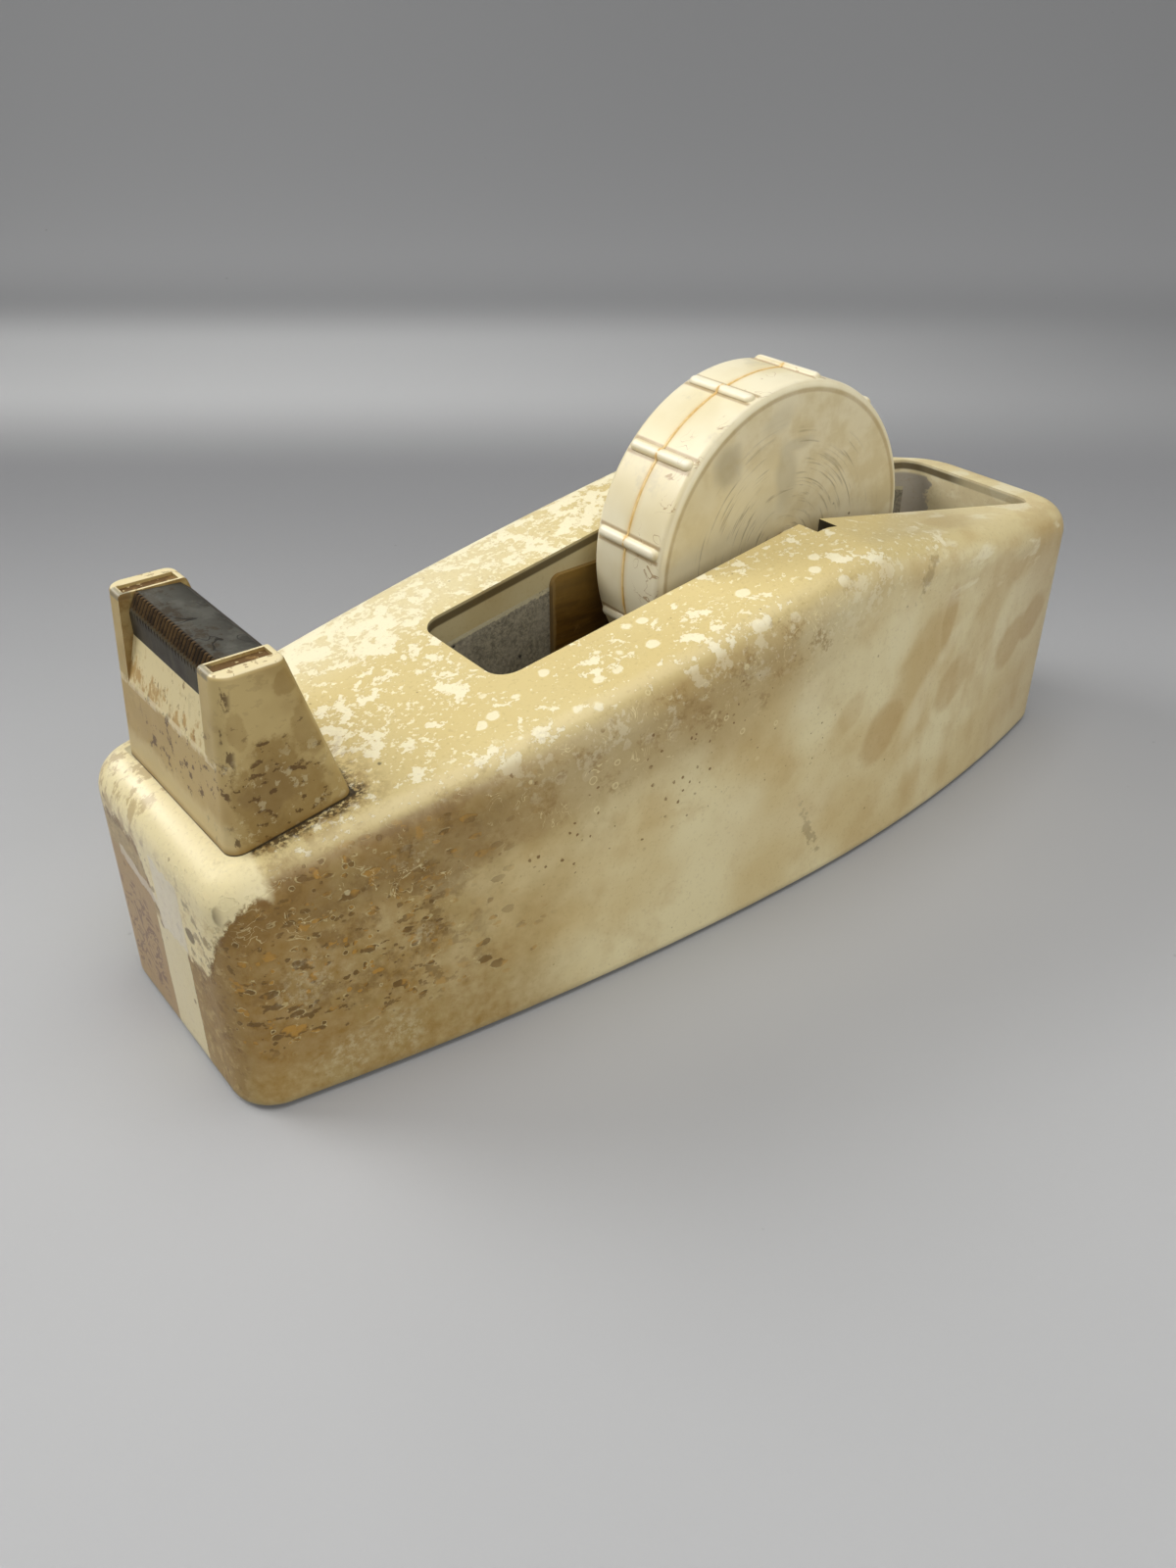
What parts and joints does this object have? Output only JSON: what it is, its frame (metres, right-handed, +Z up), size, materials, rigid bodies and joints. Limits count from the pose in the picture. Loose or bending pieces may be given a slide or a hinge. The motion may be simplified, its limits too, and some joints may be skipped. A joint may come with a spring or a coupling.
{
  "type": "desk tape dispenser",
  "caption": "Weighted desk tape dispenser: boat-shaped painted body with an open tape well, ribbed hub on a lift-out axle, and a cutter post with a serrated steel blade.",
  "frame": {"origin": "middle of the footprint, on the surface that the dispenser stands on", "axes": "+Z up; -X towards the nose, where the cutter post stands; the axle runs along Y"},
  "size_m": [0.2432, 0.0812, 0.1058],
  "materials": {
    "aged_paint": "aged ivory enamel, semi-gloss, stained and flaking",
    "ballast": "rough cast grey sand and cement",
    "plate_steel": "dull rolled sheet",
    "pad_rubber": "matt black sheet rubber",
    "fastener_steel": "tarnished zinc-plated steel",
    "brown_fibre": "varnished brown fibre sheet",
    "blade_steel": "dark tarnished spring steel with residue",
    "axle_steel": "drawn steel rod",
    "spacer_plastic": "moulded cream plastic",
    "hub_plastic": "yellowed ivory moulded plastic, satin",
    "sleeve_brass": "drawn tube"
  },
  "bodies": {
    "body": {"body_shell": "aged_paint", "ballast_fill": "ballast", "base_plate": "plate_steel", "base_pad": "pad_rubber", "base_screws": "fastener_steel", "side_guide_left": "brown_fibre", "side_guide_right": "brown_fibre", "cutter_post": "aged_paint", "cutter_blade": "blade_steel", "blade_screws": "fastener_steel", "post_screws": "fastener_steel", "post_washers": "fastener_steel"},
    "axle_set": {"axle": "axle_steel", "axle_spacer_left": "spacer_plastic", "axle_spacer_right": "spacer_plastic"},
    "hub": {"hub_half_left": "hub_plastic", "hub_half_right": "hub_plastic", "hub_sleeve": "sleeve_brass"}
  },
  "joints": [
    {"name": "axle_lift", "type": "slide", "parent": "body", "child": "axle_set", "axis": [0, 0, 1], "range_m": [0, 0.06]},
    {"name": "hub_spin", "type": "hinge", "parent": "axle_set", "child": "hub", "pos_m": [0.027, 0, 0.0682], "axis": [0, 1, 0], "continuous": true}
  ]
}
